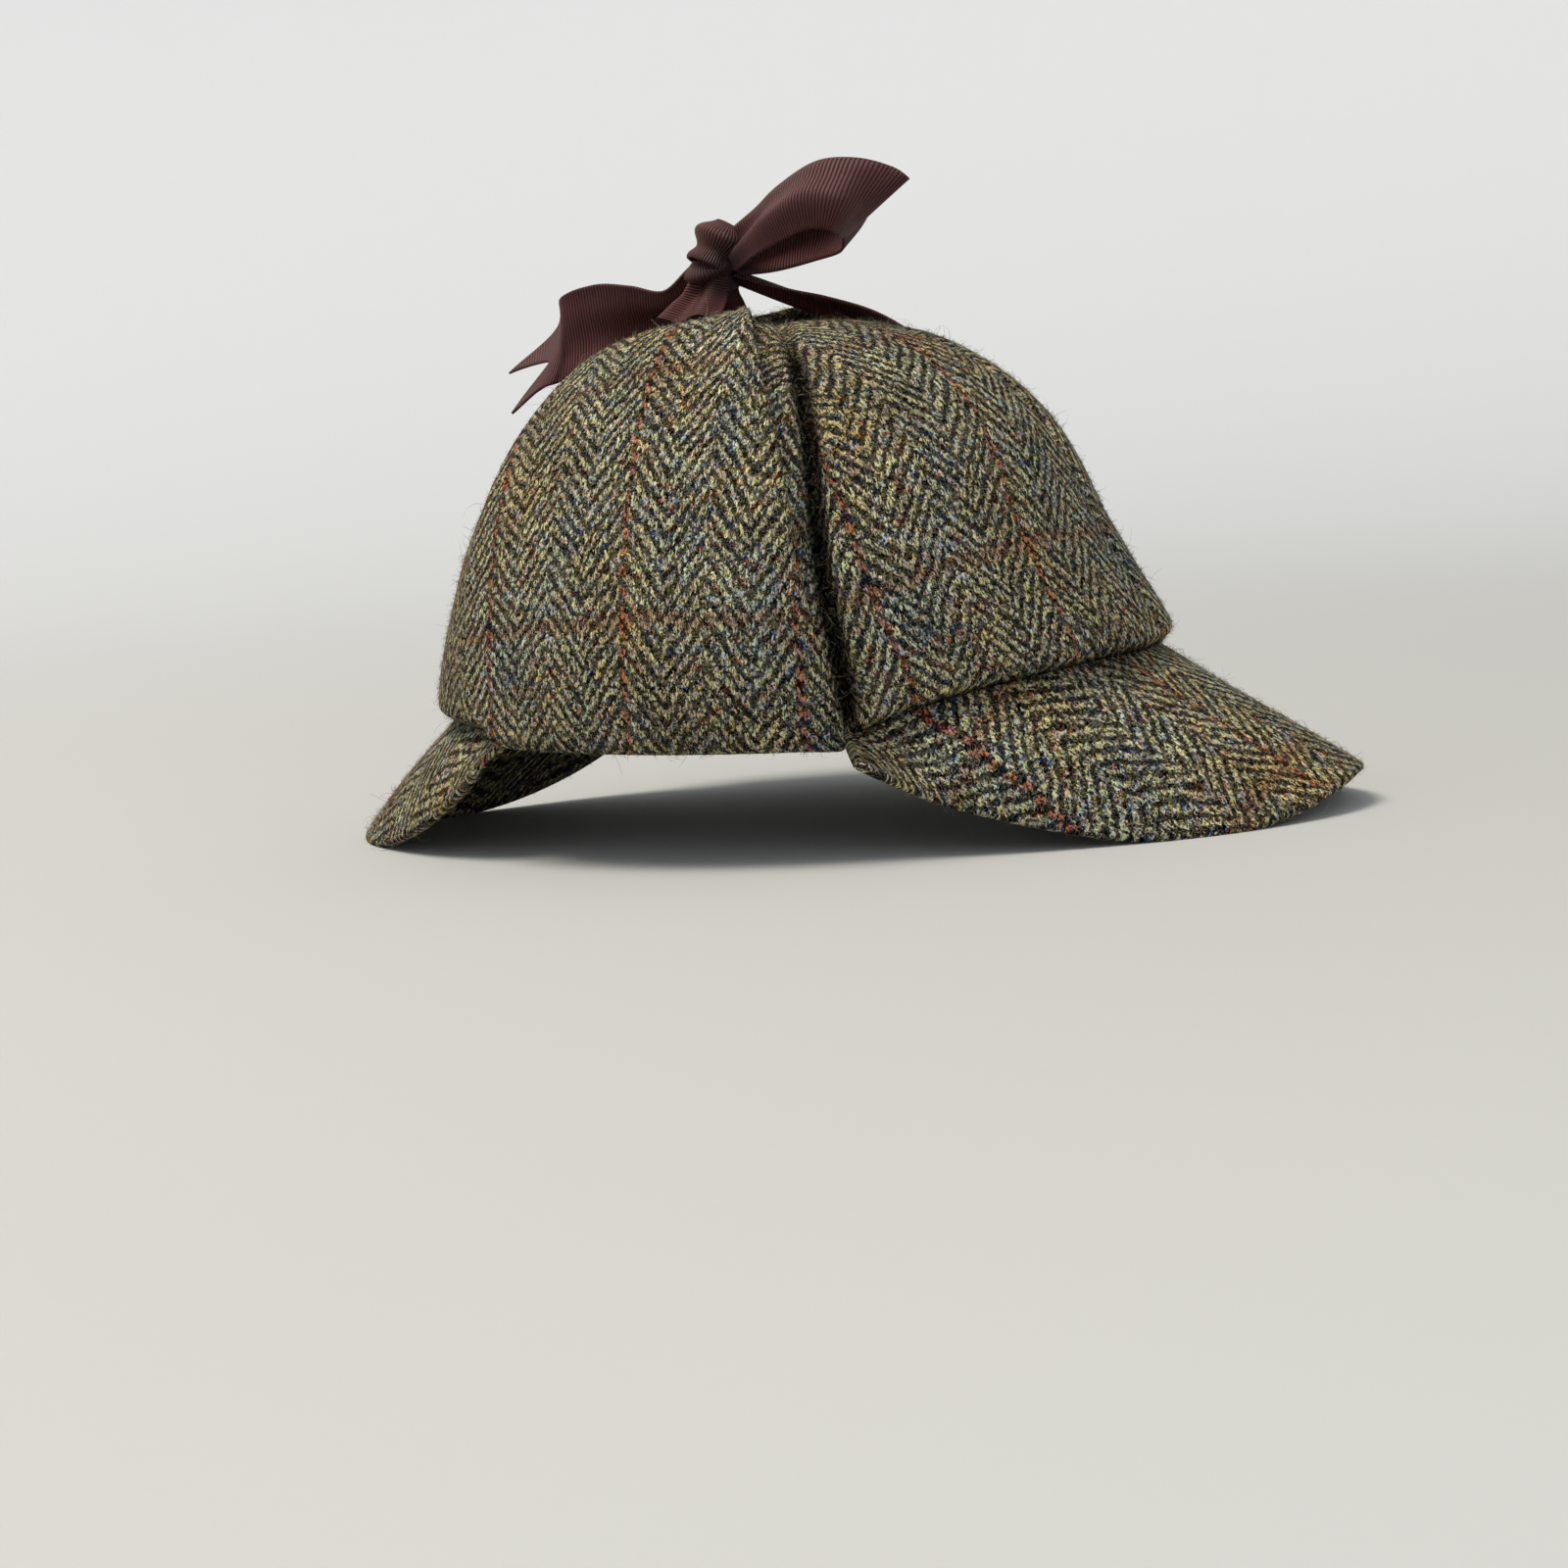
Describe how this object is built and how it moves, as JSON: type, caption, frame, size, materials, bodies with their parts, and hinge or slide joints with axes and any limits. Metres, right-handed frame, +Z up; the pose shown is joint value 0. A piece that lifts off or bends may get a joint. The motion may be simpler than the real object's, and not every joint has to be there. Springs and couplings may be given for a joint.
{
  "type": "deerstalker hat",
  "caption": "Deerstalker hat in herringbone tweed: gored crown, peak at front and back, and ear flaps folded up and tied over the top with a ribbon bow.",
  "frame": {"origin": "on the surface the hat stands on, under the middle of the whole hat", "axes": "+Z up, -Y out of the front peak, -X to the wearer's right"},
  "size_m": [0.1812, 0.2854, 0.1789],
  "materials": {
    "tweed": "olive-grey herringbone wool tweed with a rust overcheck",
    "grosgrain": "dark burgundy grosgrain ribbon"
  },
  "bodies": {
    "root": {"crown_front_right": "tweed", "crown_side_right": "tweed", "crown_back_right": "tweed", "crown_front_left": "tweed", "crown_side_left": "tweed", "crown_back_left": "tweed", "front_peak": "tweed", "back_peak": "tweed", "ear_flap_right": "tweed", "ear_flap_left": "tweed", "bow_knot": "grosgrain", "bow_loop_right": "grosgrain", "bow_loop_left": "grosgrain", "bow_tail_back": "grosgrain", "bow_tail_front": "grosgrain", "tie_right": "grosgrain", "tie_left": "grosgrain"}
  },
  "joints": []
}
